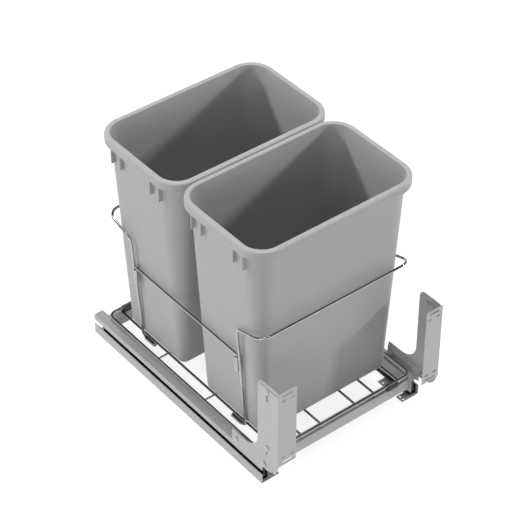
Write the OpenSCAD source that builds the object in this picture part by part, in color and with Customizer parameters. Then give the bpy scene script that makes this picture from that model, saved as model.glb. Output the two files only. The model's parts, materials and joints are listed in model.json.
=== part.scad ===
// Double pull-out waste bin unit: two floor rails, a sliding carriage with a wire tray, and two bins.
// X is the width, -Y is the way it pulls out, +Z is up. The floor is z = 0.

/* [Rails] */
// length of the fixed floor rails and of the moving side rails
rail_len = 514; // [505:1:530]
// width across the outer faces of the side rails
rail_w = 371.2; // [370:0.2:374]
// sheet thickness of the rails
rail_t = 1.5; // [1.2:0.1:1.6]
// depth of a rail from its outer face to its inner face
rail_d = 20; // [20:0.25:21]
// height of the fixed rail's outer wall
base_h = 21.5; // [20.5:0.5:24]
// height of the moving rail's top face above the floor
deck_z = 44; // [44:0.5:46]
// height of the lower edge of the moving rail's outer lip
lip_z = 32; // [29:0.5:33]
// height of the lower edge of the moving rail's inner wall
wall_z = 14; // [12:0.5:18]
// how far the floor tabs reach in from the flange
tab_reach = 19; // [15:0.5:24]
// width of a floor tab along the rail
tab_w = 17.6; // [16.8:0.2:22]
// radius of the screw holes in the floor tabs
tab_hole_r = 2.3; // [2:0.1:2.8]
// distance of the tab holes from the tab's free end
tab_hole_in = 6; // [5:0.5:8]
// distance between the two holes of the front tab
tab_pair = 8.5; // [7.5:0.5:10]
// distance of the second tab's middle from the rail's front end
tab_2 = 61; // [50:1:120]
// distance of the third tab's middle from the rail's front end
tab_3 = 310; // [200:1:380]
// distance of the last tab's middle from the rail's back end
tab_end = 40; // [30:1:80]

/* [Slides] */
// distance of the channels' front end behind the rail's front end
runner_in = 5.6; // [3:0.1:8]
// distance of the channels' back end in front of the rail's back end
runner_out = 8.4; // [4:0.2:16]
// sheet thickness of the slide channels
runner_t = 1.6; // [1.4:0.1:1.7]
// how far the fixed channels stay below the rail's upper edge
runner_gap = 2; // [1:0.5:3]
// outer width of the slide channels
runner_w = 15.5; // [15.5:0.1:15.9]
// ball diameter
ball_d = 4; // [4:0.05:4.1]
// radial play between a ball and its groove
ball_play = 0.05; // [0.02:0.01:0.08]
// number of balls in a row
ball_count = 8; // [4:1:12]
// height of the lower balls
ball_low_z = 11; // [11:0.25:11.5]
// depth of the upper balls below the deck's top face
ball_top_in = 8; // [7.75:0.25:8.25]
// how far the moving rail's lip covers the carried channel
lip_cover = 0.5; // [0:0.25:1]
// thickness of the middle member's web
web_t = 3; // [2.5:0.25:4]
// width of the middle member's two beads
bead_w = 6.2; // [6.1:0.05:6.4]
// height of the middle member's two beads
bead_h = 6; // [5.4:0.2:6]
// thickness of the ball cages
cage_t = 0.8; // [0.6:0.1:0.8]
// how much shorter a ball cage is than half a channel
cage_short = 24; // [16:2:60]
// distance of the end balls from the cage's ends
ball_in = 8; // [6:1:14]
// how much shorter the middle member is than the channels
middle_short = 20; // [10:1:30]
// free gap between a bead and the closed side of its cage
cage_play = 0.5; // [0.4:0.1:0.8]
// how far a cage's sides reach past its balls
cage_skirt = 1.2; // [0.8:0.1:1.4]

/* [Tray] */
// wire diameter of the tray's frame, its long wires and the hoops
wire_d = 5; // [4.5:0.25:5]
// wire diameter of the tray's cross wires
cross_d = 4; // [3:0.25:4.5]
// distance of the tray's side wires inside the rails' outer faces
tray_side = 15.9; // [15.3:0.1:16.4]
// distance of the tray's front wire behind the rail's front end
tray_in = 8; // [7:0.25:9]
// distance of the tray's back wire in front of the rail's back end
tray_out = 26.8; // [26:0.2:27.6]
// bend radius of the tray frame's corners
tray_r = 14; // [10:1:20]
// gap between the deck and the tray's frame wire
tray_gap = 7.2; // [7:0.2:8]
// distance of the outer long wires inside the rails' outer faces
long_side = 43; // [42.6:0.1:43.4]
// distance of the next long wires from the middle
long_b = 86; // [70:1:100]
// distance of the inner long wires from the middle
long_c = 40.5; // [25:0.5:60]
// distance of the front cross wire behind the rail's front end
cross_1 = 194.6; // [150:0.2:230]
// distance of the back cross wire in front of the rail's back end
cross_2 = 177.3; // [150:0.1:210]
// depth of the cross rails that join the side rails
beam_d = 15; // [13:0.5:18]
// height of the lower edge of the cross rails
beam_z = 20; // [18:0.5:26]
// distance of the back cross rail in front of the rail's back end
beam_out = 18.4; // [17.6:0.2:19.4]
// distance of the wire clips inside the outer long wires
clip_in = 17.6; // [15:0.1:30]
// width of a wire clip
clip_w = 24; // [16:1:30]
// wall of a wire clip in front of and behind its wire
clip_wall = 2.2; // [1.8:0.2:2.2]
// how far the long wires reach past the middle of the tray's end wires
wire_tip = 0.5; // [0:0.1:1]

/* [Hoops] */
// outer diameter of the tubes that hold the hoops' feet
socket_d = 9.4; // [9:0.1:9.6]
// length of those tubes
socket_len = 28; // [20:1:30]
// height of those tubes' middle line
socket_z = 50; // [49.8:0.1:50.2]
// play between a wire and the tube or clip it sits in
wire_play = 0.05; // [0.02:0.01:0.1]
// distance of the hoop legs inside the tray's end wires
leg_in = 84.4; // [81:0.2:90]
// distance of the legs' upper ends inside the rails' outer faces
leg_side = 17.3; // [15.6:0.1:17.6]
// height at which a leg bends into the hoop's side
hoop_low_z = 293; // [280:1:300]
// height of the hoop's end run
hoop_top_z = 313.4; // [308:0.2:322]
// distance of the end run inside the tray's end wires
run_in = 16.1; // [12.1:0.5:17.6]
// bend radius at the hoop's corners
hoop_r = 22; // [16:1:30]
// bend radius at the foot of a leg
leg_foot_r = 7; // [6:0.5:8]
// bend radius at the top of a leg
leg_top_r = 12; // [9:1:16]
// free wire between a leg's bend and its tube
foot_gap = 9; // [8.5:0.5:12]
// how far a wire's end stays back from the far end of its tube or sleeve
wire_short = 3; // [1:0.5:8]
// height of the tie rods
rod_z = 228; // [224:1:240]
// distance of the tie rods inside the rails' outer faces
rod_side = 21.6; // [21.2:0.1:22]
// outer diameter of the sleeves that hold the tie rods' ends
sleeve_d = 8; // [7.6:0.1:8.4]
// length of those sleeves
sleeve_len = 35; // [25:1:40]
// bend radius at the tie rods' ends
rod_r = 4; // [3.5:0.5:6]

/* [Brackets] */
// sheet thickness of the bracket plates and the door brackets
plate_t = 1.6; // [1.4:0.1:2]
// height of the top of the bracket plates
plate_top = 248.8; // [248:0.2:252]
// distance of the back of the plates' upright part behind the rail's front end
plate_up_in = 11.6; // [10:0.2:14]
// distance of the plates' back end behind the rail's front end
plate_back = 85.6; // [80:0.2:100]
// height of the plates' low back part
foot_top = 71; // [69:1:76]
// bend radius between the plates' low part and upright part
foot_r = 40; // [30:1:42]
// radius of the plates' lower front corner
nose_r = 35; // [28:1:36]
// radius of the plates' upper front corner
peak_r = 8; // [4:1:12]
// radius of the plates' upper back corner
back_r = 14; // [8:1:16]
// radius of the plates' foot at its back end
heel_r = 3; // [2:0.5:5]
// height of the moving rail's upstand behind each plate
upstand_h = 20; // [14:1:20]
// distance of the door face in front of the rail's front end
door_reach = 46.9; // [46.7:0.1:48]
// width of the door bracket's side flange
door_side_w = 57.5; // [56:0.5:60]
// width of the door bracket's front flange
door_w = 39.6; // [38:0.2:42]
// lower end of the door brackets
door_z = 78; // [78:0.5:79]
// upper end of the door brackets' front flange
door_top = 249.5; // [247:0.5:250]
// how much lower the side flange ends
door_step = 7.5; // [6:0.5:9]
// how much higher the side flange begins
door_rise = 3.5; // [2:0.5:5]
// corner radius of the side flange's upper back corner
door_r = 6; // [3:0.5:10]
// free gap between each door bracket and its plate
door_gap = 0.1; // [0.05:0.05:0.2]
// slot width in the door brackets
slot_w = 5.8; // [5.4:0.2:6.2]
// how far the door brackets can be raised
door_lift = 20; // [10:1:20]
// distance of the bracket screws in front of the rail's front end
slot_in = 15.9; // [15:0.1:17]
// height of the lower bracket screw above the door bracket's lower end
screw_low = 24.1; // [23:0.1:26]
// height of the plate screws above the deck
foot_screw_up = 11; // [9:0.5:13]
// distance of the back plate screw behind the rail's front end
foot_screw_back = 72.6; // [66:0.2:76]
// distance of the front plate screw in front of the rail's front end
foot_screw_front = 6.4; // [5:0.2:9]
// distance of the small locating holes beside the upper bracket screw
mark_in = 9; // [8.5:0.5:10]
// height of the short slots' middle above the bracket's end
hole_in = 18.5; // [17:0.5:20]
// height of the long slots' middle above the bracket's end
long_in = 6.5; // [5.5:0.5:7.5]
// distance of the first short slots from the side flange's face
hole_1 = 10.8; // [10:0.2:12]
// distance of the second short slots from the side flange's face
hole_2 = 30.9; // [30:0.1:32]
// distance of the long slots' middle from the side flange's face
long_mid = 21; // [20:0.5:22]
// width of the front flange's slots
door_slot_w = 4.6; // [4.2:0.2:5]
// length of the short slots
short_slot = 8.6; // [7:0.2:10]
// length of the long slots
long_slot = 23; // [18:1:24]
// radius of the bracket screws' shanks
screw_r = 2.4; // [2:0.1:2.5]
// how far the screws' shanks stick out behind the sheets
screw_out = 4.2; // [3.6:0.2:5]
// thickness of the nuts
nut_h = 3.2; // [2.4:0.2:3.4]
// half width of the nuts across their corners
nut_r = 4.6; // [4.2:0.1:4.8]
// depth of the screws' cross recess
recess_d = 1.2; // [0.8:0.1:1.6]
// length of the screws' cross recess
recess_len = 6; // [4:0.5:6.5]
// width of the screws' cross recess
recess_w = 1; // [0.8:0.1:1.4]
// radius of the bracket screws' heads
head_r = 4.6; // [4.2:0.1:5]
// height of the bracket screws' heads
head_h = 2.4; // [2:0.1:2.6]

/* [Bins] */
// free gap between a bin's underside and the long wires
bin_rest = 0.1; // [0.05:0.05:0.3]
// height of a bin
bin_h = 449.5; // [430:0.5:470]
// distance of a bin's rim inside the rails' outer faces
bin_side = 3.1; // [2.6:0.1:4.6]
// how much shorter the rim of a bin is than half the tray
bin_short = 8.6; // [8.6:0.2:11.6]
// gap between the rims of the two bins
bin_gap = 2; // [1:0.5:3]
// how far the gap between the bins lies behind the tray's middle
bin_shift = 3; // [1.4:0.2:4.4]
// corner radius of the rim
rim_r = 49; // [44:1:54]
// width of the rim's top face
rim_w = 10.6; // [10:0.2:12]
// height of the rim's outer skirt
rim_h = 21.5; // [18:0.5:26]
// how far the body's foot lies inside the rim at the ends
foot_in_x = 36; // [36:0.25:37.5]
// how far the body's foot lies inside the rim at the long sides
foot_in_y = 31.5; // [29.5:0.5:35.5]
// corner radius of the body at the floor of the bin
foot_cr = 16; // [15:1:24]
// how far the body's neck lies inside the rim
neck_in = 10.5; // [10.5:0.25:12]
// corner radius of the body under the rim
neck_cr = 43; // [40:0.5:46]
// radius of the bin's bottom edge
bin_edge = 14; // [12:1:15]
// wall thickness of the bins
bin_t = 3; // [2.5:0.1:3.4]
// rounding of the skirt's lower edge
skirt_r = 6; // [4:0.5:6]
// rounding of the rim's outer edge
lip_r = 5; // [3:0.25:5.5]
// rounding of the rim's inner edge
mouth_r = 2.5; // [1.5:0.25:3]
// thickness of the ribs under the rim
rib_t = 3; // [2:0.25:4]
// how far down from the rim's top the ribs reach
rib_len = 53.5; // [40:0.5:60]
// distance of the ribs' outer edges inside the rim's outer face
rib_in = 4.5; // [3.5:0.5:6]
// distance of the outer ribs from the bin's middle
rib_far = 70; // [65:1:74]
// distance of the inner ribs from the bin's middle
rib_near = 44; // [30:1:50]

/* [Hidden] */
$fn = 64;
rail_front = door_reach - (rail_len + door_reach) / 2;
rail_back = rail_front + rail_len;
rail_x = rail_w / 2;
inner_x = rail_x - rail_d;
weld = 0.3;
bend_thin = 0.04;
play_r = ball_d / 2 + ball_play;
slide_x = rail_x - rail_t - runner_w / 2;
ball_x = (bead_w / 2 + runner_w / 2 - runner_t) / 2;
ball_top_z = deck_z - ball_top_in;
runner_y = rail_front + runner_in;
runner_len = rail_len - runner_in - runner_out;
travel = runner_len;
cage_len = runner_len / 2 - cage_short;
cage_y = runner_y + travel / 4 + 2;
middle_len = runner_len - middle_short;
tray_z = deck_z + tray_gap + wire_d / 2;
long_z = tray_z - wire_d + weld;
cross_z = long_z - (wire_d + cross_d) / 2 + weld;
tray_x = rail_x - tray_side;
tray_front = rail_front + tray_in;
tray_back = rail_back - tray_out;
tray_half = (tray_back - tray_front) / 2;
tray_mid = tray_front + tray_half;
long_a = rail_x - long_side;
clip_x = long_a - clip_in;
leg_y = tray_half - leg_in;
leg_x = rail_x - leg_side;
hoop_y = tray_half - run_in;
rod_x = rail_x - rod_side;
socket_x = long_a + (wire_d + socket_d) / 2 - weld;
socket_in = leg_y - foot_gap;
sleeve_y = leg_y - (wire_d + sleeve_d) / 2 + 2 * weld;
run_x = leg_x + 1;
sleeve_top = rod_z - rod_r - 0.5;
side_x = rail_x + door_gap;
door_x = side_x + plate_t;
door_y = rail_front - door_reach;
fold_r = plate_t + 0.8;
slot_y = rail_front - slot_in;
slot_high_z = door_top - door_step - 3;
slot_play = 0.2;
screw_high_z = slot_high_z - slot_w / 2 - slot_play;
screw_low_z = door_z + screw_low;
foot_screw_z = deck_z + foot_screw_up;
foot_screw_1 = rail_front + foot_screw_back;
foot_screw_2 = rail_front - foot_screw_front;
hole_rows = [hole_in, door_top - door_z - hole_in];
long_rows = [long_in, door_top - door_z - long_in];
bin_z = long_z + wire_d / 2 + bin_rest;
bin_w = rail_w - 2 * bin_side;
bin_d = tray_half - bin_short;
bin_pitch = bin_d + bin_gap;
bin_y = tray_mid + bin_shift;
foot_hx = bin_w / 2 - foot_in_x;
foot_hy = bin_d / 2 - foot_in_y;
neck_hx = bin_w / 2 - neck_in;
neck_hy = bin_d / 2 - neck_in;
skirt_z = bin_h - rim_h;
rib_x = bin_w / 2 - rib_in;
arc_steps = 15;

steel = [0.72, 0.73, 0.74];
wire_colour = [0.8, 0.81, 0.82];
plastic = [0.5, 0.51, 0.52];
black = [0.08, 0.08, 0.08];

function unit(v) = v / norm(v);

// Straight wire between two points.
module rod(a, b, d) {
    v = b - a;
    len = norm(v);
    translate(a)
        rotate([0, acos(v[2] / len), atan2(v[1], v[0])])
            cylinder(d = d, h = len);
}

// Bend of a wire at point p, coming from a and leaving to b, on radius r. Its ends lap into the straights.
module bend(a, p, b, r, d) {
    lap = asin(weld / r);
    u = unit(p - a);
    w = unit(b - p);
    turn = acos(u * w);
    n = unit(w - (w * u) * u);
    k = cross(u, n);
    c = p - u * r * tan(turn / 2) + n * r;
    multmatrix([
        [-n[0], u[0], k[0], c[0]],
        [-n[1], u[1], k[1], c[1]],
        [-n[2], u[2], k[2], c[2]],
        [0, 0, 0, 1]
    ])
        rotate([0, 0, -lap])
            rotate_extrude(angle = turn + 2 * lap)
                translate([r, 0])
                    circle(d = d - bend_thin);
}

function back_off(p, q, r, o) = p + unit(q - p) * r * tan(acos(unit(p - o) * unit(q - p)) / 2);

// Open wire path through points p with bend radius r[i] at inner point i.
module path(p, r, d) {
    last = len(p) - 1;
    for (i = [0 : last - 1]) {
        a = i == 0 ? p[0] : back_off(p[i], p[i + 1], r[i], p[i - 1]);
        b = i == last - 1 ? p[last] : back_off(p[i + 1], p[i], r[i + 1], p[i + 2]);
        rod(a, b, d);
    }
    for (i = [1 : last - 1])
        bend(p[i - 1], p[i], p[i + 1], r[i], d);
}

// Box given by its low and high corners.
module block(lo, hi) {
    translate(lo)
        cube(hi - lo);
}

// Box on one side of the unit, with x measured outward from the middle.
module side_block(s, lo, hi) {
    block([s < 0 ? -hi[0] : lo[0], lo[1], lo[2]], [s < 0 ? -lo[0] : hi[0], hi[1], hi[2]]);
}

// Cylinder along X on one side, from x = lo to x = hi outward.
module side_pin(s, lo, hi, y, z, r) {
    translate([s < 0 ? -hi : lo, y, z])
        rotate([0, 90, 0])
            cylinder(r = r, h = hi - lo);
}

// Upright slot along Z, cut through a side sheet.
module side_slot(s, lo, hi, y, z0, z1, w) {
    side_pin(s, lo, hi, y, z0 + w / 2, w / 2);
    side_pin(s, lo, hi, y, z1 - w / 2, w / 2);
    side_block(s, [lo, y - w / 2, z0 + w / 2], [hi, y + w / 2, z1 - w / 2]);
}

module floor_tab(s, y, holes) {
    difference() {
        side_block(s, [inner_x - tab_reach, y - tab_w / 2, 0], [inner_x + 1, y + tab_w / 2, rail_t]);
        for (h = holes)
            translate([s * (inner_x - tab_reach + tab_hole_in), y + h, -1])
                cylinder(r = tab_hole_r, h = rail_t + 2);
    }
}

module base_rail(s) {
    color(steel)
        union() {
            side_block(s, [rail_x - rail_t, rail_front, 0], [rail_x, rail_back, base_h]);
            side_block(s, [inner_x, rail_front, 0], [rail_x - rail_t, rail_back, rail_t]);
            floor_tab(s, rail_front + tab_w / 2, [-tab_pair / 2, tab_pair / 2]);
            for (y = [tab_2, tab_3, rail_len - tab_end])
                floor_tab(s, rail_front + y, [0]);
        }
}

// Ball grooves along the rail, cut on both sides of a slide part.
module grooves(s, z, y0, len) {
    for (k = [-1, 1])
        translate([s * slide_x + k * ball_x, y0 - 1, z])
            rotate([-90, 0, 0])
                cylinder(r = play_r, h = len + 2);
}

// Slide channel between heights z0 and z1: up is 1 when it is open on top.
module runner(s, z0, z1, up, ball_z) {
    half = runner_w / 2;
    color(steel)
        difference() {
            side_block(s, [slide_x - half, runner_y, z0], [slide_x + half, runner_y + runner_len, z1]);
            side_block(s, [slide_x - half + runner_t, runner_y - 1, up > 0 ? z0 + runner_t : z0 - 1],
                [slide_x + half - runner_t, runner_y + runner_len + 1, up > 0 ? z1 + 1 : z1 - runner_t]);
            grooves(s, ball_z, runner_y, runner_len);
        }
}

module lower_runner(s) {
    runner(s, rail_t, base_h - runner_gap, 1, ball_low_z);
}

module upper_runner(s) {
    runner(s, lip_z + lip_cover, deck_z - rail_t, -1, ball_top_z);
}

module middle_member(s) {
    half = bead_w / 2;
    color(steel)
        difference() {
            union() {
                for (z = [ball_low_z, ball_top_z])
                    side_block(s, [slide_x - half, runner_y, z - bead_h / 2],
                        [slide_x + half, runner_y + middle_len, z + bead_h / 2]);
                side_block(s, [slide_x - web_t / 2, runner_y, ball_low_z],
                    [slide_x + web_t / 2, runner_y + middle_len, ball_top_z]);
            }
            grooves(s, ball_low_z, runner_y, middle_len);
            grooves(s, ball_top_z, runner_y, middle_len);
        }
}

function ball_at(i) = cage_y + ball_in + i * (cage_len - 2 * ball_in) / (ball_count - 1);

module balls(s, z) {
    color(wire_colour)
        for (k = [-1, 1], i = [0 : ball_count - 1])
            translate([s * slide_x + k * ball_x, ball_at(i), z])
                sphere(d = ball_d);
}

// Cage folded round one bead: up is 1 when its closed side is on top.
module cage(s, z, up) {
    half = ball_x + cage_t / 2;
    shut = bead_h / 2 + cage_play;
    open = ball_d / 2 + cage_skirt;
    color(steel)
        difference() {
            side_block(s, [slide_x - half, cage_y, z - (up > 0 ? open : shut + cage_t)],
                [slide_x + half, cage_y + cage_len, z + (up > 0 ? shut + cage_t : open)]);
            side_block(s, [slide_x - half + cage_t, cage_y - 1, z - (up > 0 ? open + 1 : shut)],
                [slide_x + half - cage_t, cage_y + cage_len + 1, z + (up > 0 ? shut : open + 1)]);
            for (i = [0 : ball_count - 1])
                translate([s * slide_x - half - 1, ball_at(i), z])
                    rotate([0, 90, 0])
                        cylinder(r = play_r, h = 2 * half + 2);
        }
}

module side_rail(s) {
    color(steel)
        union() {
            side_block(s, [rail_x - rail_t, rail_front, lip_z], [rail_x, rail_back, deck_z]);
            side_block(s, [inner_x, rail_front, deck_z - rail_t], [rail_x, rail_back, deck_z]);
            side_block(s, [inner_x, rail_front, wall_z], [inner_x + rail_t, rail_back, deck_z]);
            difference() {
                side_block(s, [rail_x - plate_t - rail_t, rail_front, deck_z - rail_t],
                    [rail_x - plate_t, rail_front + plate_back, deck_z + upstand_h]);
                side_pin(s, rail_x - 9, rail_x + 1, foot_screw_1, foot_screw_z, screw_r);
            }
        }
}

module cross_rail(y) {
    half = inner_x;
    color(steel)
        difference() {
            block([-half, y, beam_z], [half, y + beam_d, deck_z]);
            block([-half - 1, y + rail_t, beam_z - 1], [half + 1, y + beam_d - rail_t, deck_z - rail_t]);
        }
}

module tray_perimeter_wire() {
    x = tray_x;
    color(wire_colour)
        path([
            [0, tray_front, tray_z], [x, tray_front, tray_z], [x, tray_back, tray_z],
            [-x, tray_back, tray_z], [-x, tray_front, tray_z], [0, tray_front, tray_z]
        ], [0, tray_r, tray_r, tray_r, tray_r, 0], wire_d);
}

module tray_long_wires() {
    color(wire_colour)
        for (x = [-long_a, -long_b, -long_c, long_c, long_b, long_a])
            rod([x, tray_front - wire_tip, long_z], [x, tray_back + wire_tip, long_z], wire_d);
}

module tray_cross_wires() {
    color(wire_colour)
        for (y = [rail_front + cross_1, rail_back - cross_2])
            rod([-inner_x, y, cross_z], [inner_x, y, cross_z], cross_d);
}

// Saddle on a cross rail with an open groove that the tray's end wire snaps into.
module wire_clips() {
    half = wire_d / 2 + clip_wall;
    color(black)
        for (y = [tray_front, tray_back], s = [-1, 1])
            translate([s * clip_x - clip_w / 2, y, 0])
                difference() {
                    block([0, -half, deck_z], [clip_w, half, tray_z + 0.5]);
                    translate([-1, 0, tray_z])
                        rotate([0, 90, 0])
                            cylinder(r = wire_d / 2 + wire_play, h = clip_w + 2);
                }
}

module hoop_sockets() {
    color(wire_colour)
        for (e = [-1, 1], s = [-1, 1])
            translate([s * socket_x, tray_mid + e * socket_in, socket_z])
                rotate([e * 90, 0, 0])
                    difference() {
                        cylinder(d = socket_d, h = socket_len);
                        translate([0, 0, -1])
                            cylinder(r = wire_d / 2 + wire_play, h = socket_len + 2);
                    }
}

// Hoop round one bin: e is -1 for the front one and 1 for the back one.
module hoop(e) {
    foot = tray_mid + e * (socket_in - socket_len + wire_short);
    leg = tray_mid + e * leg_y;
    run = tray_mid + e * hoop_y;
    color(wire_colour)
        path([
            [-socket_x, foot, socket_z], [-socket_x, leg, socket_z], [-leg_x, leg, hoop_low_z],
            [-run_x, run, hoop_top_z], [run_x, run, hoop_top_z], [leg_x, leg, hoop_low_z],
            [socket_x, leg, socket_z], [socket_x, foot, socket_z]
        ], [0, leg_foot_r, leg_top_r, hoop_r, hoop_r, leg_top_r, leg_foot_r, 0], wire_d);
}

module rod_sleeves() {
    color(wire_colour)
        for (e = [-1, 1], s = [-1, 1])
            translate([s * rod_x, tray_mid + e * sleeve_y, sleeve_top - sleeve_len])
                difference() {
                    cylinder(d = sleeve_d, h = sleeve_len);
                    translate([0, 0, -1])
                        cylinder(r = wire_d / 2 + wire_play, h = sleeve_len + 2);
                }
}

module tie_rod(s) {
    x = s * rod_x;
    low = sleeve_top - sleeve_len + wire_short;
    color(wire_colour)
        path([
            [x, tray_mid - sleeve_y, low], [x, tray_mid - sleeve_y, rod_z],
            [x, tray_mid + sleeve_y, rod_z], [x, tray_mid + sleeve_y, low]
        ], [0, rod_r, rod_r, 0], wire_d);
}

// Corner piece to cut away: round a corner at [y, z] whose inside lies towards [dy, dz].
module corner(y, z, dy, dz, r) {
    difference() {
        translate([dy > 0 ? y - 1 : y - r, dz > 0 ? z - 1 : z - r])
            square(r + 1);
        translate([y + dy * r, z + dz * r])
            circle(r = r);
    }
}

module plate_outline() {
    front = door_y + fold_r;
    up = rail_front + plate_up_in;
    back = rail_front + plate_back;
    difference() {
        union() {
            translate([front, deck_z])
                square([up - front, plate_top - deck_z]);
            translate([front + 1, deck_z])
                square([back - front - 1, foot_top - deck_z]);
            difference() {
                translate([up - 1, foot_top - 1])
                    square(foot_r + 1);
                translate([up + foot_r, foot_top + foot_r])
                    circle(r = foot_r);
            }
        }
        corner(front, deck_z, 1, 1, nose_r);
        corner(front, plate_top, 1, -1, peak_r);
        corner(up, plate_top, -1, -1, back_r);
        corner(back, foot_top, -1, -1, heel_r);
    }
}

module bracket_plate(s) {
    color(steel)
        difference() {
            translate([s < 0 ? -rail_x : rail_x - plate_t, 0, 0])
                multmatrix([[0, 0, 1, 0], [1, 0, 0, 0], [0, 1, 0, 0], [0, 0, 0, 1]])
                    linear_extrude(height = plate_t)
                        plate_outline();
            for (p = [[slot_y, screw_high_z], [slot_y, screw_low_z], [foot_screw_1, foot_screw_z],
                    [foot_screw_2, foot_screw_z]])
                side_pin(s, rail_x - 9, rail_x + 1, p[0], p[1], screw_r);
            side_pin(s, rail_x - 9, rail_x + 1, slot_y + mark_in, screw_high_z - 1, 3);
            side_slot(s, rail_x - 9, rail_x + 1, slot_y - mark_in, screw_high_z - 7, screw_high_z + 5, 5);
        }
}

// Pan head screw through a side sheet, its nut on the inside.
module pan_screw(s, face, inner, y, z) {
    difference() {
        union() {
            side_pin(s, face, face + head_h, y, z, head_r);
            side_pin(s, inner - screw_out, face, y, z, screw_r);
            translate([s < 0 ? -inner : inner - nut_h, y, z])
                rotate([0, 90, 0])
                    cylinder(r = nut_r, h = nut_h, $fn = 6);
        }
        for (h = [[recess_len, recess_w] / 2, [recess_w, recess_len] / 2])
            side_block(s, [face + head_h - recess_d, y - h[0], z - h[1]],
                [face + head_h + 1, y + h[0], z + h[1]]);
    }
}

module plate_screws(s) {
    color(wire_colour) {
        pan_screw(s, rail_x, rail_x - plate_t - rail_t, foot_screw_1, foot_screw_z);
        pan_screw(s, rail_x, rail_x - plate_t, foot_screw_2, foot_screw_z);
    }
}

module bracket_screws(s) {
    color(wire_colour) {
        pan_screw(s, door_x + door_gap, rail_x - plate_t, slot_y, screw_high_z);
        pan_screw(s, door_x + door_gap, rail_x - plate_t, slot_y, screw_low_z);
    }
}

// Slot along X through the door bracket's front flange, middle at x outward.
module front_slot(s, x, z, len) {
    w = door_slot_w;
    half = (len - w) / 2;
    for (k = [-1, 1])
        translate([s * x + k * half, door_y - 1, z])
            rotate([-90, 0, 0])
                cylinder(d = w, h = plate_t + 2);
    block([s * x - half, door_y - 1, z - w / 2], [s * x + half, door_y + plate_t + 1, z + w / 2]);
}

module door_bracket(s) {
    cut = door_x + 1;
    color(steel)
        difference() {
            union() {
                side_block(s, [side_x, door_y + fold_r, door_z + door_rise],
                    [door_x, door_y + door_side_w, door_top - door_step - door_r]);
                side_block(s, [side_x, door_y + fold_r, door_z + door_rise],
                    [door_x, door_y + door_side_w - door_r, door_top - door_step]);
                side_pin(s, side_x, door_x, door_y + door_side_w - door_r,
                    door_top - door_step - door_r, door_r);
                side_block(s, [door_x - door_w, door_y, door_z],
                    [door_x - fold_r, door_y + plate_t, door_top]);
                intersection() {
                    translate([s * (door_x - fold_r), door_y + fold_r, door_z])
                        difference() {
                            cylinder(r = fold_r, h = door_top - door_z);
                            translate([0, 0, -1])
                                cylinder(r = fold_r - plate_t, h = door_top - door_z + 2);
                        }
                    side_block(s, [door_x - fold_r, door_y, door_z], [door_x, door_y + fold_r, door_top]);
                }
            }
            side_slot(s, side_x - 1, cut, slot_y, screw_high_z - door_lift - slot_w / 2 - slot_play,
                slot_high_z, slot_w);
            side_slot(s, side_x - 1, cut, slot_y, door_z - slot_w,
                screw_low_z + slot_w / 2 + slot_play, slot_w);
            for (z = hole_rows, x = [hole_1, hole_2])
                front_slot(s, door_x - x, door_z + z, short_slot);
            for (z = long_rows)
                front_slot(s, door_x - long_mid, door_z + z, long_slot);
        }
}

// Points of one rounded rectangle ring with half sizes hx and hy, corner radius r, at height z.
function ring(hx, hy, r, z) = [
    for (q = [0 : 3], i = [0 : arc_steps])
        let (a = q * 90 + i * 90 / arc_steps, sx = (q == 0 || q == 3) ? 1 : -1, sy = q < 2 ? 1 : -1)
        [sx * (hx - r) + r * cos(a), sy * (hy - r) + r * sin(a), z]
];

function lerp(a, b, t) = a + (b - a) * t;

// Body ring at height z above the bin's underside, moved in by o.
function body(z, o) = let (t = z / skirt_z)
    ring(lerp(foot_hx, neck_hx, t) - o, lerp(foot_hy, neck_hy, t) - o,
        max(lerp(foot_cr, neck_cr, t) - o, 1), z);

// Rim ring moved in by o from the rim's outer face, at height z above the underside.
function rim(o, z) = ring(bin_w / 2 - o, bin_d / 2 - o, rim_r - o, z);

module bin_shell() {
    e = bin_edge;
    in_e = bin_edge - bin_t;
    rise = [0.2, 0.4, 0.6, 0.8];
    rings = concat(
        [for (a = [0 : 15 : 90]) body(e * (1 - cos(a)), e * (1 - sin(a)))],
        [for (t = rise) body(lerp(e, skirt_z - 3, t), 0)],
        [body(skirt_z - 3, 0)],
        [ring(neck_hx + 2.5, neck_hy + 2.5, neck_cr + 2.5, skirt_z - 0.8)],
        [for (a = [20 : 20 : 80]) rim(skirt_r * (1 - sin(a)), skirt_z + skirt_r * (1 - cos(a)))],
        [for (a = [0 : 22.5 : 90]) rim(lip_r * (1 - cos(a)), bin_h - lip_r * (1 - sin(a)))],
        [for (a = [0 : 30 : 90]) rim(rim_w - mouth_r * (1 - sin(a)), bin_h - mouth_r * (1 - cos(a)))],
        [for (t = concat(rise, [1])) body(lerp(skirt_z - 2, bin_t + in_e, t), bin_t)],
        [for (a = [75 : -15 : 0]) body(bin_t + in_e * (1 - cos(a)), bin_t + in_e * (1 - sin(a)))]
    );
    n = 4 * (arc_steps + 1);
    m = len(rings);
    pts = [for (r = rings) each r];
    faces = concat(
        [[for (i = [0 : n - 1]) i]],
        [for (j = [0 : m - 2], i = [0 : n - 1]) [j * n + i, (j + 1) * n + i, (j + 1) * n + (i + 1) % n]],
        [for (j = [0 : m - 2], i = [0 : n - 1]) [j * n + i, (j + 1) * n + (i + 1) % n, j * n + (i + 1) % n]],
        [[for (i = [n - 1 : -1 : 0]) (m - 1) * n + i]]
    );
    polyhedron(pts, faces);
}

// Rib under the rim on one end of a bin.
module rib(s, y) {
    low = bin_h - rib_len;
    high = skirt_z + 3;
    drop = max(0, abs(y) - 57) * 0.13 + bin_t / 2;
    x0 = lerp(foot_hx, neck_hx, low / skirt_z) - drop;
    x1 = lerp(foot_hx, neck_hx, high / skirt_z) - drop;
    translate([0, y + rib_t / 2, 0])
        rotate([90, 0, 0])
            linear_extrude(height = rib_t)
                polygon([[s * x0, low], [s * rib_x, low], [s * rib_x, high], [s * x1, high]]);
}

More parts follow.
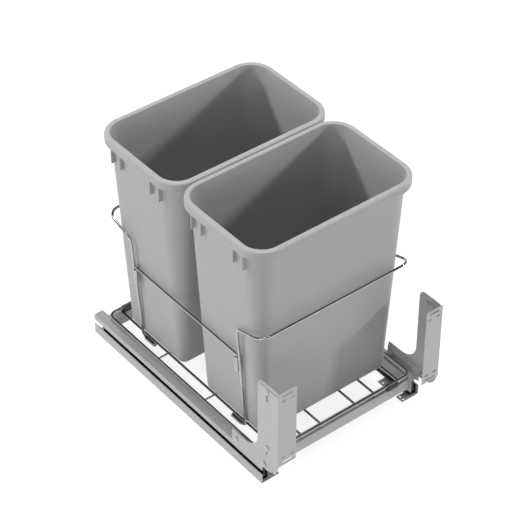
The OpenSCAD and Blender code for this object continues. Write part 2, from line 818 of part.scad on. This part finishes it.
module bin(e) {
    color(plastic)
        translate([0, bin_y + e * bin_pitch / 2, bin_z])
            union() {
                bin_shell();
                for (s = [-1, 1], y = [-rib_far, -rib_near, rib_near, rib_far])
                    rib(s, y);
            }
}

base_rail(-1);  // left_base_rail
base_rail(1);  // right_base_rail
lower_runner(-1);  // left_lower_runner
lower_runner(1);  // right_lower_runner
cage(-1, ball_low_z, -1);  // left_lower_cage
cage(1, ball_low_z, -1);  // right_lower_cage
balls(-1, ball_low_z);  // left_lower_balls
balls(1, ball_low_z);  // right_lower_balls
middle_member(-1);  // left_middle_member
middle_member(1);  // right_middle_member
cage(-1, ball_top_z, 1);  // left_upper_cage
cage(1, ball_top_z, 1);  // right_upper_cage
balls(-1, ball_top_z);  // left_upper_balls
balls(1, ball_top_z);  // right_upper_balls
upper_runner(-1);  // left_upper_runner
upper_runner(1);  // right_upper_runner
side_rail(-1);  // left_side_rail
side_rail(1);  // right_side_rail
cross_rail(rail_front + runner_in);  // front_cross_rail
cross_rail(rail_back - beam_out - beam_d);  // back_cross_rail
tray_perimeter_wire();
tray_long_wires();
tray_cross_wires();
wire_clips();
hoop_sockets();
hoop(-1);  // front_hoop
hoop(1);  // back_hoop
rod_sleeves();
tie_rod(-1);  // left_tie_rod
tie_rod(1);  // right_tie_rod
bracket_plate(-1);  // left_bracket_plate
bracket_plate(1);  // right_bracket_plate
plate_screws(-1);  // left_plate_screws
plate_screws(1);  // right_plate_screws
door_bracket(-1);  // left_door_bracket
door_bracket(1);  // right_door_bracket
bracket_screws(-1);  // left_bracket_screws
bracket_screws(1);  // right_bracket_screws
bin(-1);  // front_bin
bin(1);  // back_bin
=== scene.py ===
import bpy
import json
import math
from mathutils import Matrix, Vector


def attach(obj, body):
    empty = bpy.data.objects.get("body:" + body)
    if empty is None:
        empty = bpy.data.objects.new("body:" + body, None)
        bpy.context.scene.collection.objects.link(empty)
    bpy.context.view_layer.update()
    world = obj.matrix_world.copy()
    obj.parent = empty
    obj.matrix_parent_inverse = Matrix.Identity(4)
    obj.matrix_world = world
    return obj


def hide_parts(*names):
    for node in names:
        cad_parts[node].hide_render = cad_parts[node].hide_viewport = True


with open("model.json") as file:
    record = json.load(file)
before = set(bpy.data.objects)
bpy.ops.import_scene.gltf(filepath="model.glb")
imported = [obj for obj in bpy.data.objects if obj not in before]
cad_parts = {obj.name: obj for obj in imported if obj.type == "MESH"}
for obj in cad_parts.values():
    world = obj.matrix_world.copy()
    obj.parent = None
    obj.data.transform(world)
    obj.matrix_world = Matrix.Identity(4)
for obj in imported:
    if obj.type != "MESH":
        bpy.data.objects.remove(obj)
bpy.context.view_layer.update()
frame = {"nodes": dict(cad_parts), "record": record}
nodes = frame["nodes"]
scene = bpy.context.scene
print("frame loaded")

# Camera
cameraSettings = {
    "place": (-1.758457, -2.196260, 2.625205),
    "turn": -38.6454,  # degrees round Z, 0 looks along +Y
    "down": 40.0,
    "roll": 0.1628,
    "lens": 140.585,  # mm
    "sensor": 36,  # mm
    "clip": (0.1, 60),
}


def makeCamera(s):
    data = bpy.data.cameras.new("photoCamera")
    data.lens = s["lens"]
    data.sensor_width = s["sensor"]
    data.clip_start, data.clip_end = s["clip"]
    cam = bpy.data.objects.new("photoCamera", data)
    scene.collection.objects.link(cam)
    turn = Matrix.Rotation(math.radians(s["turn"]), 4, "Z")
    tilt = Matrix.Rotation(math.radians(90 - s["down"]), 4, "X")
    roll = Matrix.Rotation(math.radians(s["roll"]), 4, "Z")
    cam.matrix_world = Matrix.Translation(s["place"]) @ turn @ tilt @ roll
    scene.camera = cam


makeCamera(cameraSettings)
scene.view_settings.view_transform = "Standard"

# Studio: a bright wall all round, a dark ceiling, two small lamps and two broad ones
studioSettings = {
    "wallLight": 0.95,
    "ceilingLight": 0.0,
    "wallTop": 0.14,  # height on the unit sphere where the wall starts to darken
    "ceilingFrom": 0.36,
    "target": (0.0, 0.0, 0.25),
    # direction to the lamp, distance, size and the light it gives to a face turned to it
    "lamps": {
        "frontRightLamp": ((1.0, -0.75, 0.47), 4.5, 0.45, 0.38),
        "backLeftLamp": ((-1.0, 0.8, 0.93), 4.5, 0.45, 0.40),
        "leftLamp": ((-1.0, -0.50, 0.30), 4.5, 2.4, 0.24),
        "topLamp": ((0.05, 0.10, 1.0), 5.0, 2.6, 0.80),
    },
    "softOnly": ("backLeftLamp",),  # lights the object but leaves no bright line on the wires
    "floorSize": 80.0,
    "floorDrop": 0.0003,  # keeps the floor clear of the rails' undersides
    "floorColour": (0.62, 0.62, 0.62, 1),  # what lights the object from below
    "floorSeen": (0.26, 0.26, 0.26, 1),  # what shows, with the shadow on it
    "floorGlow": 0.87,
}


def makeWorld(s):
    world = bpy.data.worlds.new("studioWorld")
    scene.world = world
    world.use_nodes = True
    tree = world.node_tree
    back = tree.nodes["Background"]
    coords = tree.nodes.new("ShaderNodeTexCoord")
    split = tree.nodes.new("ShaderNodeSeparateXYZ")
    fade = tree.nodes.new("ShaderNodeMapRange")
    fade.interpolation_type = "SMOOTHSTEP"
    fade.inputs["From Min"].default_value = s["wallTop"]
    fade.inputs["From Max"].default_value = s["ceilingFrom"]
    fade.inputs["To Min"].default_value = s["wallLight"]
    fade.inputs["To Max"].default_value = s["ceilingLight"]
    tree.links.new(coords.outputs["Generated"], split.inputs[0])
    tree.links.new(split.outputs["Z"], fade.inputs["Value"])
    tree.links.new(fade.outputs[0], back.inputs["Strength"])
    back.inputs["Color"].default_value = (1, 1, 1, 1)


def makeLamps(s):
    target = Vector(s["target"])
    for name, (way, distance, size, light) in s["lamps"].items():
        data = bpy.data.lights.new(name, "AREA")
        data.size = size
        data.energy = light * math.pi ** 2 * distance ** 2
        lamp = bpy.data.objects.new(name, data)
        scene.collection.objects.link(lamp)
        lamp.visible_glossy = name not in s["softOnly"]
        way = Vector(way).normalized()
        lamp.location = target + way * distance
        lamp.rotation_euler = way.to_track_quat("Z", "Y").to_euler()


def makeFloor(s):
    half = s["floorSize"] / 2
    mesh = bpy.data.meshes.new("studioFloor")
    corners = [(-half, -half, 0), (half, -half, 0), (half, half, 0), (-half, half, 0)]
    mesh.from_pydata(corners, [], [(0, 1, 2, 3)])
    floor = bpy.data.objects.new("studioFloor", mesh)
    scene.collection.objects.link(floor)
    floor.location.z = -s["floorDrop"]
    mat = bpy.data.materials.new("paleFloor")
    mat.use_nodes = True
    tree = mat.node_tree
    tree.nodes.clear()
    path = tree.nodes.new("ShaderNodeLightPath")
    opaqueRay = tree.nodes.new("ShaderNodeMath")
    opaqueRay.operation = "MAXIMUM"
    seenRay = tree.nodes.new("ShaderNodeMath")
    seenRay.operation = "MAXIMUM"
    tree.links.new(path.outputs["Is Camera Ray"], opaqueRay.inputs[0])
    tree.links.new(path.outputs["Is Glossy Ray"], opaqueRay.inputs[1])
    tree.links.new(opaqueRay.outputs[0], seenRay.inputs[0])
    tree.links.new(path.outputs["Is Transmission Ray"], seenRay.inputs[1])
    plain = tree.nodes.new("ShaderNodeBsdfDiffuse")
    plain.inputs["Color"].default_value = s["floorColour"]
    shown = tree.nodes.new("ShaderNodeBsdfDiffuse")
    shown.inputs["Color"].default_value = s["floorSeen"]
    glow = tree.nodes.new("ShaderNodeEmission")
    glow.inputs["Strength"].default_value = s["floorGlow"]
    add = tree.nodes.new("ShaderNodeAddShader")
    mix = tree.nodes.new("ShaderNodeMixShader")
    out = tree.nodes.new("ShaderNodeOutputMaterial")
    tree.links.new(shown.outputs[0], add.inputs[0])
    tree.links.new(glow.outputs[0], add.inputs[1])
    tree.links.new(seenRay.outputs[0], mix.inputs[0])
    tree.links.new(plain.outputs[0], mix.inputs[1])
    tree.links.new(add.outputs[0], mix.inputs[2])
    tree.links.new(mix.outputs[0], out.inputs["Surface"])
    mesh.materials.append(mat)


makeWorld(studioSettings)
makeLamps(studioSettings)
makeFloor(studioSettings)
print("studio ready")


# Materials
noiseSettings = {
    "span": (0.3, 0.7),  # the part of the noise's range that is used
    "patchDetail": 4,
    "grainDetail": 3,
}


def objectCoords(tree, scale):
    coords = tree.nodes.new("ShaderNodeTexCoord")
    mapping = tree.nodes.new("ShaderNodeMapping")
    mapping.inputs["Scale"].default_value = scale
    tree.links.new(coords.outputs["Object"], mapping.inputs["Vector"])
    return mapping.outputs["Vector"]


def noise(tree, vector, scale, detail):
    node = tree.nodes.new("ShaderNodeTexNoise")
    node.inputs["Scale"].default_value = scale
    node.inputs["Detail"].default_value = detail
    tree.links.new(vector, node.inputs["Vector"])
    return node.outputs["Fac"]


def spread(tree, value, low, high):
    node = tree.nodes.new("ShaderNodeMapRange")
    node.inputs["From Min"].default_value = noiseSettings["span"][0]
    node.inputs["From Max"].default_value = noiseSettings["span"][1]
    node.inputs["To Min"].default_value = low
    node.inputs["To Max"].default_value = high
    tree.links.new(value, node.inputs["Value"])
    return node.outputs[0]


def twoTone(tree, value, dark, light):
    node = tree.nodes.new("ShaderNodeValToRGB")
    for stop, place, tone in zip(node.color_ramp.elements, noiseSettings["span"], (dark, light)):
        stop.position = place
        stop.color = (*tone, 1)
    tree.links.new(value, node.inputs["Fac"])
    return node.outputs["Color"]


def bump(tree, value, depth, shader):
    node = tree.nodes.new("ShaderNodeBump")
    node.inputs["Distance"].default_value = depth
    node.inputs["Strength"].default_value = 1
    tree.links.new(value, node.inputs["Height"])
    tree.links.new(node.outputs[0], shader.inputs["Normal"])


def surface(name, s):
    mat = bpy.data.materials.new(name)
    mat.use_nodes = True
    tree = mat.node_tree
    shader = tree.nodes["Principled BSDF"]
    shader.inputs["Metallic"].default_value = s["metallic"]
    patches = noise(tree, objectCoords(tree, (1, 1, 1)), s["patchScale"], noiseSettings["patchDetail"])
    grain = noise(tree, objectCoords(tree, s["grain"]), 1, noiseSettings["grainDetail"])
    tree.links.new(twoTone(tree, patches, s["dark"], s["light"]), shader.inputs["Base Color"])
    tree.links.new(spread(tree, grain, *s["rough"]), shader.inputs["Roughness"])
    bump(tree, grain, s["grainDepth"], shader)
    return mat


zincSheet = {
    "metallic": 0.2, "patchScale": 420, "dark": (0.43, 0.43, 0.43), "light": (0.51, 0.51, 0.51),
    "grain": (1400, 40, 1400), "rough": (0.34, 0.46), "grainDepth": 0.00001,
}
# Slide steel: partly a dark coated finish, partly painted shade. The near-black colour also stands in for the
# deep shade in the slot between the rails.
slideSteelWithPaintedShade = {
    "metallic": 0.9, "patchScale": 90, "dark": (0.05, 0.05, 0.05), "light": (0.08, 0.08, 0.08),
    "grain": (1800, 30, 1800), "rough": (0.28, 0.40), "grainDepth": 0.00001,
}
chromeWire = {
    "metallic": 1.0, "patchScale": 120, "dark": (0.42, 0.42, 0.425), "light": (0.48, 0.48, 0.485),
    "grain": (900, 900, 900), "rough": (0.05, 0.10), "grainDepth": 0.000004,
}
ballSteel = {
    "metallic": 1.0, "patchScale": 300, "dark": (0.72, 0.72, 0.72), "light": (0.80, 0.80, 0.80),
    "grain": (1200, 1200, 1200), "rough": (0.06, 0.12), "grainDepth": 0.000002,
}
screwSteel = {
    "metallic": 1.0, "patchScale": 200, "dark": (0.58, 0.58, 0.57), "light": (0.68, 0.68, 0.67),
    "grain": (1500, 1500, 1500), "rough": (0.22, 0.34), "grainDepth": 0.000008,
}
binPlastic = {
    "metallic": 0.0, "patchScale": 18, "dark": (0.395, 0.395, 0.395), "light": (0.410, 0.410, 0.410),
    "grain": (1500, 1500, 1500), "rough": (0.42, 0.52), "grainDepth": 0.000025,
}
clipPlastic = {
    "metallic": 0.0, "patchScale": 90, "dark": (0.012, 0.012, 0.013), "light": (0.020, 0.020, 0.021),
    "grain": (1600, 1600, 1600), "rough": (0.38, 0.50), "grainDepth": 0.00002,
}
finishes = {
    "zinc_steel": surface("zincSheet", zincSheet),
    "slide_steel": surface("slideSteelWithPaintedShade", slideSteelWithPaintedShade),
    "chrome_wire": surface("chromeWire", chromeWire),
    "ball_steel": surface("ballSteel", ballSteel),
    "screw_steel": surface("screwSteel", screwSteel),
    "bin_plastic": surface("binPlastic", binPlastic),
    "clip_plastic": surface("clipPlastic", clipPlastic),
}

for part in frame["record"]["subparts"]:
    cadNode = nodes[part["node"]]
    cadNode.data.materials.clear()
    cadNode.data.materials.append(finishes[part["material_slot"]])
print("materials on the CAD nodes")

# Eased edges on the sheet steel
sheetEdge = {"width": 0.00025, "segments": 2, "angle": 35}
for part in frame["record"]["subparts"]:
    if part["material_slot"] == "zinc_steel":
        ease = nodes[part["node"]].modifiers.new("easedEdges", "BEVEL")
        ease.width = sheetEdge["width"]
        ease.segments = sheetEdge["segments"]
        ease.limit_method = "ANGLE"
        ease.angle_limit = math.radians(sheetEdge["angle"])
        ease.harden_normals = True


# Shared mesh helpers
smoothAngle = 40  # degrees; a sharper edge stays sharp


def addPiece(name, body, slotName, verts, faces):
    mesh = bpy.data.meshes.new(name)
    mesh.from_pydata(verts, [], faces)
    mesh.validate()
    mesh.update()
    mesh.polygons.foreach_set("use_smooth", [True] * len(mesh.polygons))
    mesh.set_sharp_from_angle(angle=math.radians(smoothAngle))
    mesh.materials.append(finishes[slotName])
    piece = bpy.data.objects.new(name, mesh)
    scene.collection.objects.link(piece)
    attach(piece, body)
    return piece


# Bins
binSettings = {
    "height": 0.4495, "width": 0.365, "depth": 0.231, "rest": 0.0516,
    "places": {"front_bin": -0.09945, "back_bin": 0.13355},
    "rimCorner": 0.049, "rimWidth": 0.0106, "rimHeight": 0.0215,
    "footHalf": (0.1465, 0.084), "footCorner": 0.016,
    "neckHalf": (0.172, 0.105), "neckCorner": 0.043,
    "bottomEdge": 0.014, "wall": 0.003, "skirtRound": 0.006, "lipRound": 0.005, "mouthRound": 0.0025,
    "leastCorner": 0.001,
    "neckBelow": 0.003,  # the outer wall ends this far below the skirt
    "shoulder": ((0.0006, 0.0012), (0.0025, 0.0002)),  # out from the neck, below the skirt
    "insideBelow": 0.002,  # the inner wall begins this far below the skirt's height
    "cornerSteps": 24, "wallSteps": 12,
    # first angle, last angle and steps of each rounding
    "footArc": (0, 90, 8), "skirtArc": (12, 90, 6), "lipArc": (0, 90, 6), "mouthArc": (0, 90, 5),
    "insideArc": (80, 0, 7),
    "ribThickness": 0.003, "ribLength": 0.0535, "ribInset": 0.0045,
    "ribPlaces": (-0.070, -0.044, 0.044, 0.070),
    "ribEdge": 0.0006, "ribRoot": 0.0015, "ribCorner": 0.0012, "ribCornerArc": (30, 90, 2),
    "ribUp": 0.003,  # how far a rib reaches up into the skirt
    "bendFrom": 0.062, "bendPull": 0.09,  # the wall bends away beyond this place, so ribs there root deeper
}


def mixed(a, b, t):
    return a + (b - a) * t


def arc(low, high, count):
    return [math.radians(low + (high - low) * i / count) for i in range(count + 1)]


def roundedRing(halfX, halfY, corner, z, steps):
    ring = []
    for quarter, (signX, signY) in enumerate(((1, 1), (-1, 1), (-1, -1), (1, -1))):
        for i in range(steps + 1):
            a = math.radians(90 * quarter + 90 * i / steps)
            ring.append((signX * (halfX - corner) + corner * math.cos(a),
                         signY * (halfY - corner) + corner * math.sin(a), z))
    return ring


def binRings(s):
    skirt = s["height"] - s["rimHeight"]
    steps = s["cornerSteps"]
    edge = s["bottomEdge"]
    inner = edge - s["wall"]

    def bodyRing(z, inset):
        t = z / skirt
        return roundedRing(mixed(s["footHalf"][0], s["neckHalf"][0], t) - inset,
                           mixed(s["footHalf"][1], s["neckHalf"][1], t) - inset,
                           max(mixed(s["footCorner"], s["neckCorner"], t) - inset, s["leastCorner"]),
                           z, steps)

    def neckRing(out, below):
        return roundedRing(s["neckHalf"][0] + out, s["neckHalf"][1] + out, s["neckCorner"] + out,
                           skirt - below, steps)

    def rimRing(inset, z):
        return roundedRing(s["width"] / 2 - inset, s["depth"] / 2 - inset, s["rimCorner"] - inset,
                           z, steps)

    def wallRings(first, last, inset):
        return [bodyRing(mixed(first, last, i / s["wallSteps"]), inset)
                for i in range(1, s["wallSteps"] + 1)]

    # Outside from the foot up
    rings = [bodyRing(edge * (1 - math.cos(a)), edge * (1 - math.sin(a))) for a in arc(*s["footArc"])]
    rings += wallRings(edge, skirt - s["neckBelow"], 0)
    rings += [neckRing(out, below) for out, below in s["shoulder"]]
    soft = s["skirtRound"]
    rings += [rimRing(soft * (1 - math.sin(a)), skirt + soft * (1 - math.cos(a)))
              for a in arc(*s["skirtArc"])]
    soft = s["lipRound"]
    rings += [rimRing(soft * (1 - math.cos(a)), s["height"] - soft * (1 - math.sin(a)))
              for a in arc(*s["lipArc"])]
    # Inside from the mouth down
    soft = s["mouthRound"]
    rings += [rimRing(s["rimWidth"] - soft * (1 - math.sin(a)), s["height"] - soft * (1 - math.cos(a)))
              for a in arc(*s["mouthArc"])]
    rings += wallRings(skirt - s["insideBelow"], s["wall"] + inner, s["wall"])
    rings += [bodyRing(s["wall"] + inner * (1 - math.cos(a)), s["wall"] + inner * (1 - math.sin(a)))
              for a in arc(*s["insideArc"])]
    return rings


def loft(rings, offset):
    count = len(rings[0])
    verts = [(x, y + offset[1], z + offset[2]) for ring in rings for x, y, z in ring]
    faces = [tuple(range(count - 1, -1, -1))]
    for j in range(len(rings) - 1):
        for i in range(count):
            k = (i + 1) % count
            faces.append((j * count + i, j * count + k, (j + 1) * count + k, (j + 1) * count + i))
    last = (len(rings) - 1) * count
    faces.append(tuple(range(last, last + count)))
    return verts, faces


def joined(parts):
    verts, faces = [], []
    for partVerts, partFaces in parts:
        start = len(verts)
        verts += partVerts
        faces += [tuple(i + start for i in face) for face in partFaces]
    return verts, faces


# A rib: outline in X and Z, with its free edges eased on both sides
def ribMesh(s, side, place, offset):
    low = s["height"] - s["ribLength"]
    skirt = s["height"] - s["rimHeight"]
    high = skirt + s["ribUp"]
    drop = max(0, abs(place) - s["bendFrom"]) * s["bendPull"] + s["ribRoot"]
    out = s["width"] / 2 - s["ribInset"]
    ease = s["ribEdge"]
    corner = s["ribCorner"]
    half = s["ribThickness"] / 2

    def root(z):
        return mixed(s["footHalf"][0], s["neckHalf"][0], z / skirt) - drop

    layers = []
    for y, inset in ((-half, ease), (-half + ease, 0), (half - ease, 0), (half, ease)):
        outline = [(root(low), low + inset), (out - inset - corner, low + inset)]
        outline += [(out - inset - corner + corner * math.sin(a),
                     low + inset + corner - corner * math.cos(a)) for a in arc(*s["ribCornerArc"])]
        outline += [(out - inset, high), (root(high), high)]
        layers.append([(side * x, place + offset[1] + y, z + offset[2]) for x, z in outline])
    count = len(layers[0])
    verts = [v for layer in layers for v in layer]
    faces = [tuple(range(count)), tuple(range(4 * count - 1, 3 * count - 1, -1))]
    for j in range(3):
        for i in range(count):
            k = (i + 1) % count
            faces.append((j * count + k, j * count + i, (j + 1) * count + i, (j + 1) * count + k))
    if side < 0:
        faces = [tuple(reversed(face)) for face in faces]
    return verts, faces


for binName, middle in binSettings["places"].items():
    place = (0, middle, binSettings["rest"])
    ribs = [ribMesh(binSettings, side, y, place) for side in (-1, 1) for y in binSettings["ribPlaces"]]
    binVerts, binFaces = joined([loft(binRings(binSettings), place)] + ribs)
    tub = addPiece(binName + "_tub", binName, "bin_plastic", binVerts, binFaces)
    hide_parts(binName)
print("bins built")


# Path through the points, with an arc of its own radius at each inner one
def wirePath(points, radii, turnSteps):
    points = [Vector(p) for p in points]
    out = [points[0]]
    for i in range(1, len(points) - 1):
        a = (points[i] - points[i - 1]).normalized()
        b = (points[i + 1] - points[i]).normalized()
        turn = a.angle(b)
        radius = radii[i]
        side = (b - a * b.dot(a)).normalized()
        start = points[i] - a * radius * math.tan(turn / 2)
        centre = start + side * radius
        steps = max(2, round(turnSteps * turn / (math.pi / 2)))
        for j in range(steps + 1):
            t = turn * j / steps
            out.append(centre - side * radius * math.cos(t) + a * radius * math.sin(t))
    out.append(points[-1])
    return out


# Tube round a path, its ends eased; a closed path has no ends
def wireMesh(path, diameter, sides, closed=False, ease=0.0006):
    radius = diameter / 2
    count = len(path)
    ways = []
    for i in range(count):
        before = path[i - 1] if i or closed else None
        after = path[(i + 1) % count] if i < count - 1 or closed else None
        a = (path[i] - before).normalized() if before is not None else (after - path[i]).normalized()
        b = (after - path[i]).normalized() if after is not None else a
        ways.append((a + b).normalized())
    normal = ways[0].orthogonal().normalized()
    rings = []
    for i in range(count):
        normal = (normal - ways[i] * normal.dot(ways[i])).normalized()
        rings.append((path[i], ways[i], normal.copy(), radius))
    if not closed:
        first, last = rings[0], rings[-1]
        rings[0] = (first[0] + first[1] * ease, *first[1:])
        rings[-1] = (last[0] - last[1] * ease, *last[1:])
        rings.insert(0, (first[0], first[1], first[2], radius - ease))
        rings.append((last[0], last[1], last[2], radius - ease))
    verts, faces = [], []
    for middle, way, normal, size in rings:
        other = way.cross(normal)
        for k in range(sides):
            a = 2 * math.pi * k / sides
            verts.append(tuple(middle + (normal * math.cos(a) + other * math.sin(a)) * size))
    spans = len(rings) if closed else len(rings) - 1
    for j in range(spans):
        k = (j + 1) % len(rings)
        shift = 0
        if closed and k == 0:  # the last ring may have turned against the first
            lead = rings[0][2]
            tail = rings[-1][2]
            angle = math.atan2(lead.dot(rings[-1][1].cross(tail)), lead.dot(tail))
            shift = round(-angle / (2 * math.pi) * sides)
        for i in range(sides):
            n = (i + 1) % sides
            faces.append((j * sides + i, j * sides + n,
                          k * sides + (n + shift) % sides, k * sides + (i + shift) % sides))
    if not closed:
        faces.append(tuple(range(sides - 1, -1, -1)))
        faces.append(tuple(range((len(rings) - 1) * sides, len(rings) * sides)))
    return verts, faces


# Hollow tube from one point to another, with eased ends
def tubeMesh(start, end, outer, bore, sides, ease):
    start, end = Vector(start), Vector(end)
    way = (end - start).normalized()
    normal = way.orthogonal().normalized()
    other = way.cross(normal)
    length = (end - start).length
    profile = [(0, bore / 2 + ease), (0, outer / 2 - ease), (ease, outer / 2),
               (length - ease, outer / 2), (length, outer / 2 - ease), (length, bore / 2 + ease),
               (length - ease, bore / 2), (ease, bore / 2)]
    verts, faces = [], []
    for along, size in profile:
        for k in range(sides):
            a = 2 * math.pi * k / sides
            verts.append(tuple(start + way * along + (normal * math.cos(a) + other * math.sin(a)) * size))
    for j in range(len(profile)):
        k = (j + 1) % len(profile)
        for i in range(sides):
            n = (i + 1) % sides
            faces.append((j * sides + i, j * sides + n, k * sides + n, k * sides + i))
    return verts, faces


# Weld bead: a squashed ball where two wires touch
def beadMesh(middle, size, rows, sides):
    verts = [(middle[0], middle[1], middle[2] - size[2])]
    for j in range(1, rows):
        b = -math.pi / 2 + math.pi * j / rows
        for i in range(sides):
            a = 2 * math.pi * i / sides
            verts.append((middle[0] + size[0] * math.cos(b) * math.cos(a),
                          middle[1] + size[1] * math.cos(b) * math.sin(a), middle[2] + size[2] * math.sin(b)))
    verts.append((middle[0], middle[1], middle[2] + size[2]))
    faces = [(0, 1 + (i + 1) % sides, 1 + i) for i in range(sides)]
    for j in range(rows - 2):
        for i in range(sides):
            n = (i + 1) % sides
            low, high = 1 + j * sides, 1 + (j + 1) * sides
            faces.append((low + i, low + n, high + n, high + i))
    top = len(verts) - 1
    last = 1 + (rows - 2) * sides
    faces += [(top, last + i, last + (i + 1) % sides) for i in range(sides)]
    return verts, faces


# Wires and tubes
wireSettings = {
    "wire": 0.005, "crossWire": 0.004, "sides": 32, "turnSteps": 14,
    "tray": {"x": 0.1697, "front": -0.22555, "back": 0.25365, "z": 0.0537, "corner": 0.014},
    "longX": (-0.1426, -0.086, -0.0405, 0.0405, 0.086, 0.1426), "longZ": 0.049, "longTip": 0.0005,
    "crossX": 0.1656, "crossY": (-0.03895, 0.10315), "crossZ": 0.0448,
    "bead": (0.0019, 0.0019, 0.0011), "beadRows": 8, "beadSides": 16,
    "beadIn": 0.0012,  # from the frame wire's middle towards the tray's middle
    "middle": 0.01405, "foot": 0.1212, "leg": 0.1552, "run": 0.2235,
    "socketX": 0.1495, "socketZ": 0.050, "legX": 0.1683, "runX": 0.1693, "lowZ": 0.293, "topZ": 0.3134,
    "hoopRadii": (0, 0.007, 0.012, 0.022, 0.022, 0.012, 0.007, 0),
    "socketIn": 0.1462, "socketLength": 0.028, "socketOuter": 0.0094, "bore": 0.0051, "tubeEase": 0.0004,
    "rodX": 0.164, "rodZ": 0.228, "rodY": 0.1493, "rodCorner": 0.004, "rodLow": 0.1915,
    "sleeveTop": 0.2235, "sleeveLength": 0.035, "sleeveOuter": 0.008,
}


def addWires(name, node, body, parts):
    verts, faces = joined(parts)
    piece = addPiece(name, body, "chrome_wire", verts, faces)
    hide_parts(node)


def weldBead(s, x, y, z):
    return beadMesh((x, y, z), s["bead"], s["beadRows"], s["beadSides"])


def buildTray(s):
    t = s["tray"]
    corners = [(0, t["front"], t["z"]), (t["x"], t["front"], t["z"]), (t["x"], t["back"], t["z"]),
               (-t["x"], t["back"], t["z"]), (-t["x"], t["front"], t["z"]), (0, t["front"], t["z"])]
    path = wirePath(corners, [t["corner"]] * 6, s["turnSteps"])[:-1]
    addWires("tray_frame_wire", "tray_perimeter_wire", "carriage",
             [wireMesh(path, s["wire"], s["sides"], closed=True)])
    longParts = []
    for x in s["longX"]:
        path = [Vector((x, t["front"] - s["longTip"], s["longZ"])),
                Vector((x, t["back"] + s["longTip"], s["longZ"]))]
        longParts.append(wireMesh(path, s["wire"], s["sides"]))
        for y in (t["front"] + s["beadIn"], t["back"] - s["beadIn"]):
            longParts.append(weldBead(s, x, y, (t["z"] + s["longZ"]) / 2))
    addWires("tray_bar_wires", "tray_long_wires", "carriage", longParts)
    crossParts = []
    for y in s["crossY"]:
        path = [Vector((-s["crossX"], y, s["crossZ"])), Vector((s["crossX"], y, s["crossZ"]))]
        crossParts.append(wireMesh(path, s["crossWire"], s["sides"]))
        crossParts += [weldBead(s, x, y, s["crossZ"] + s["crossWire"] / 2) for x in s["longX"]]
    addWires("tray_brace_wires", "tray_cross_wires", "carriage", crossParts)


def buildHoops(s):
    for side, node in ((-1, "front_hoop"), (1, "back_hoop")):
        foot, leg, run = (s["middle"] + side * s[key] for key in ("foot", "leg", "run"))
        half = [(s["socketX"], foot, s["socketZ"]), (s["socketX"], leg, s["socketZ"]),
                (s["legX"], leg, s["lowZ"]), (s["runX"], run, s["topZ"])]
        points = [(-x, y, z) for x, y, z in half] + list(reversed(half))
        path = wirePath(points, s["hoopRadii"], s["turnSteps"])
        addWires(node + "_wire", node, "carriage", [wireMesh(path, s["wire"], s["sides"])])
    sockets, sleeves = [], []
    for end in (-1, 1):
        for side in (-1, 1):
            x = side * s["socketX"]
            near = s["middle"] + end * s["socketIn"]
            far = near - end * s["socketLength"]
            sockets.append(tubeMesh((x, near, s["socketZ"]), (x, far, s["socketZ"]),
                                    s["socketOuter"], s["bore"], s["sides"], s["tubeEase"]))
            x = side * s["rodX"]
            y = s["middle"] + end * s["rodY"]
            sleeves.append(tubeMesh((x, y, s["sleeveTop"] - s["sleeveLength"]), (x, y, s["sleeveTop"]),
                                    s["sleeveOuter"], s["bore"], s["sides"], s["tubeEase"]))
    addWires("hoop_foot_tubes", "hoop_sockets", "carriage", sockets)
    addWires("tie_rod_tubes", "rod_sleeves", "carriage", sleeves)
    for side, node in ((-1, "left_tie_rod"), (1, "right_tie_rod")):
        x = side * s["rodX"]
        ends = [s["middle"] - s["rodY"], s["middle"] + s["rodY"]]
        points = [(x, ends[0], s["rodLow"]), (x, ends[0], s["rodZ"]),
                  (x, ends[1], s["rodZ"]), (x, ends[1], s["rodLow"])]
        path = wirePath(points, [0, s["rodCorner"], s["rodCorner"], 0], s["turnSteps"])
        addWires(node + "_wire", node, "carriage", [wireMesh(path, s["wire"], s["sides"])])


buildTray(wireSettings)
buildHoops(wireSettings)
print("wires built")
